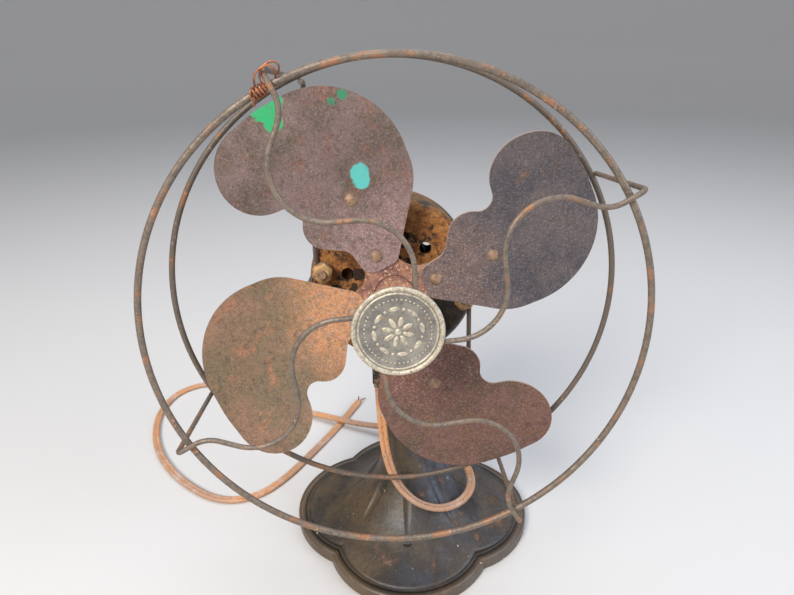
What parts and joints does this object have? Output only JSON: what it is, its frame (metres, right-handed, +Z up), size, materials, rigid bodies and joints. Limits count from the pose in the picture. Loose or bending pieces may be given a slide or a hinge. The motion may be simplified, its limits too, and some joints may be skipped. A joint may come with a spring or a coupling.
{
  "type": "desk fan",
  "caption": "Small antique desk fan: lobed cast stand with fluted column, tilting motor, riveted sheet blades, open wire guard with S-shaped spokes and round badge, flat twin cord.",
  "frame": {"origin": "centre of the stand's underside, on the felt", "axes": "+Z up; the fan blows towards -Y; +X to the right when the fan is seen from its front"},
  "size_m": [0.2946, 0.2472, 0.2682],
  "materials": {
    "cast_base": "worn dark enamel over cast metal, with brown bloom",
    "cover_plate": "thin sheet steel, blackened",
    "felt": "dense felt",
    "fastener_steel": "plain steel with surface rust",
    "brass_parts": "tarnished brass",
    "cord_jacket": "flat twin cord, faded salmon rubber",
    "copper": "bare copper",
    "motor_case": "black enamel mostly lost to orange rust",
    "lamination_steel": "stacked electrical steel",
    "winding": "varnished copper winding",
    "bearing_bronze": "oiled bronze",
    "bush_fibre": "black vulcanised fibre",
    "spring_steel": "darkened spring steel",
    "guard_wire": "plated steel wire, plating gone, brown rust",
    "badge_nickel": "worn and corroded nickel plate",
    "shaft_steel": "ground steel",
    "rotor_aluminium": "cast aluminium",
    "spider_steel": "stamped steel with pink-brown rust",
    "blade_steel": "sheet steel with fine speckled rust"
  },
  "bodies": {
    "stand": {"stand_casting": "cast_base", "bottom_plate": "cover_plate", "bottom_felt": "felt", "bottom_screws": "fastener_steel", "pivot_post": "cast_base", "pivot_bolt": "fastener_steel", "pivot_washers": "fastener_steel", "cord": "cord_jacket", "cord_conductors": "copper"},
    "wing_nut": {"wing_nut": "brass_parts"},
    "head": {"neck_lug": "motor_case", "neck_screws": "fastener_steel", "motor_front_shell": "motor_case", "motor_rear_shell": "motor_case", "stator_core": "lamination_steel", "stator_coils": "winding", "front_bearing": "bearing_bronze", "rear_bearing": "bearing_bronze", "through_bolts": "fastener_steel", "bolt_washers": "fastener_steel", "bolt_nuts": "brass_parts", "cord_bushing": "bush_fibre", "strain_relief_spring": "spring_steel", "front_ring": "guard_wire", "rear_ring": "guard_wire", "spoke_1": "guard_wire", "spoke_2": "guard_wire", "spoke_3": "guard_wire", "spoke_4": "guard_wire", "cage_support_left": "guard_wire", "cage_support_right": "guard_wire", "badge_front": "badge_nickel", "badge_back": "guard_wire", "tie_wire": "copper"},
    "rotor": {"shaft": "shaft_steel", "rotor_core": "lamination_steel", "rotor_end_rings": "rotor_aluminium", "shaft_spacers": "bearing_bronze", "hub_collar": "spider_steel", "hub_set_screw": "fastener_steel", "spider": "spider_steel", "blade_1": "blade_steel", "blade_2": "blade_steel", "blade_3": "blade_steel", "blade_4": "blade_steel", "blade_rivets": "spider_steel"}
  },
  "joints": [
    {"name": "head_tilt", "type": "hinge", "parent": "stand", "child": "head", "pos_m": [0, 0, 0.104], "axis": [1, 0, 0], "range_deg": [-35, 3], "deforming": ["cord"]},
    {"name": "wing_nut_turn", "type": "hinge", "parent": "stand", "child": "wing_nut", "pos_m": [0, 0, 0.104], "axis": [1, 0, 0], "range_deg": [0, 270]},
    {"name": "rotor_spin", "type": "hinge", "parent": "head", "child": "rotor", "pos_m": [-0.008, -0.03345, 0.1614], "axis": [0, -0.9956, 0.0941], "continuous": true}
  ]
}
